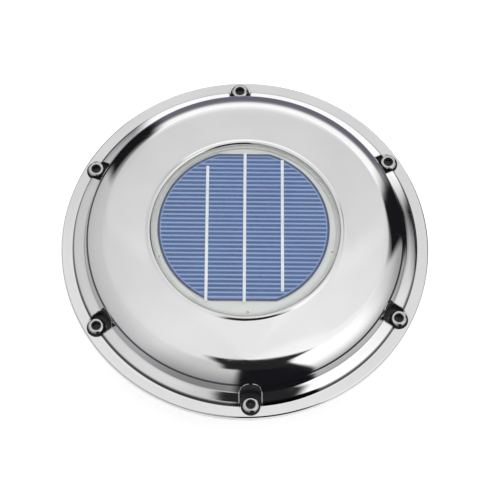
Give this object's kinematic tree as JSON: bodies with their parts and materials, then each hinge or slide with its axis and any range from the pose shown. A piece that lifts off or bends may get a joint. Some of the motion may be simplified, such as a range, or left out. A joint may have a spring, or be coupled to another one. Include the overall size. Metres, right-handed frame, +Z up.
{
  "type": "solar attic fan",
  "caption": "Round low-profile roof ventilator: polished steel cover with a solar cell in its top, raised on a white base whose short duct holds a motor-driven fan and an insect screen.",
  "frame": {"origin": "centre of the roof opening, on the roof's outer surface, where the gasket and the cover's feet sit (z = 0)", "axes": "+Z up, out of the roof, along the fan's shaft; the duct hangs below z = 0; a cover screw lies on +Y and one on -Y, and the air outlet between two screws lies on +X"},
  "size_m": [0.215, 0.215, 0.069],
  "materials": {
    "polished_steel": "mirror-polished stainless sheet with faint turning grain on the flange",
    "screw_steel": "bright stainless",
    "zinc_steel": "zinc-plated steel",
    "laminated_steel": "stamped sheet stack",
    "brass_insert": "turned brass",
    "bronze_bush": "sintered bronze",
    "copper_wire": "enamelled copper",
    "tinned_copper": "tinned, satin",
    "white_abs": "moulded, satin",
    "black_abs": "moulded, satin",
    "screen_mesh": "woven mesh",
    "black_rubber": "matt foam rubber",
    "white_silicone": "satin silicone",
    "white_backing": "white back sheet",
    "clear_sheet": "clear, glossy",
    "cell_silicon": "blue anti-reflection coating with fine printed fingers",
    "ferrite": "pressed ferrite",
    "red_pvc": "soft plastic insulation",
    "black_pvc": "soft plastic insulation"
  },
  "bodies": {
    "housing": {"cover_shell": "polished_steel", "cover_screw_1": "screw_steel", "cover_screw_2": "screw_steel", "cover_screw_3": "screw_steel", "cover_screw_4": "screw_steel", "cover_screw_5": "screw_steel", "cover_screw_6": "screw_steel", "screw_washer_1": "black_rubber", "screw_washer_2": "black_rubber", "screw_washer_3": "black_rubber", "screw_washer_4": "black_rubber", "screw_washer_5": "black_rubber", "screw_washer_6": "black_rubber", "threaded_insert_1": "brass_insert", "threaded_insert_2": "brass_insert", "threaded_insert_3": "brass_insert", "threaded_insert_4": "brass_insert", "threaded_insert_5": "brass_insert", "threaded_insert_6": "brass_insert", "base_plate": "white_abs", "deck_gasket": "black_rubber", "motor_bracket": "black_abs", "bracket_screw_1": "zinc_steel", "bracket_screw_2": "zinc_steel", "bracket_screw_3": "zinc_steel", "motor_can": "zinc_steel", "motor_end_cap": "white_abs", "terminal_positive": "tinned_copper", "terminal_negative": "tinned_copper", "bearing_lower": "bronze_bush", "bearing_upper": "bronze_bush", "magnet_left": "ferrite", "magnet_right": "ferrite", "motor_screw_1": "zinc_steel", "motor_screw_2": "zinc_steel", "window_lens": "clear_sheet", "window_seal": "white_silicone", "solar_cell": "cell_silicon", "cell_ribbon_left": "tinned_copper", "cell_ribbon_centre": "tinned_copper", "cell_ribbon_right": "tinned_copper", "cell_backing": "white_backing", "panel_tray": "white_abs", "tray_nut_1": "zinc_steel", "tray_nut_2": "zinc_steel", "tray_nut_3": "zinc_steel", "lead_red": "red_pvc", "lead_black": "black_pvc", "screen_frame": "white_abs", "insect_screen": "screen_mesh"},
    "rotor": {"motor_shaft": "screw_steel", "armature_core": "laminated_steel", "winding_1": "copper_wire", "winding_2": "copper_wire", "winding_3": "copper_wire", "commutator": "copper_wire", "fan_impeller": "black_abs", "fan_collar": "brass_insert"}
  },
  "joints": [
    {"name": "fan_spin", "type": "hinge", "parent": "housing", "child": "rotor", "pos_m": [0, 0, -0.017], "axis": [0, 0, 1], "continuous": true}
  ]
}
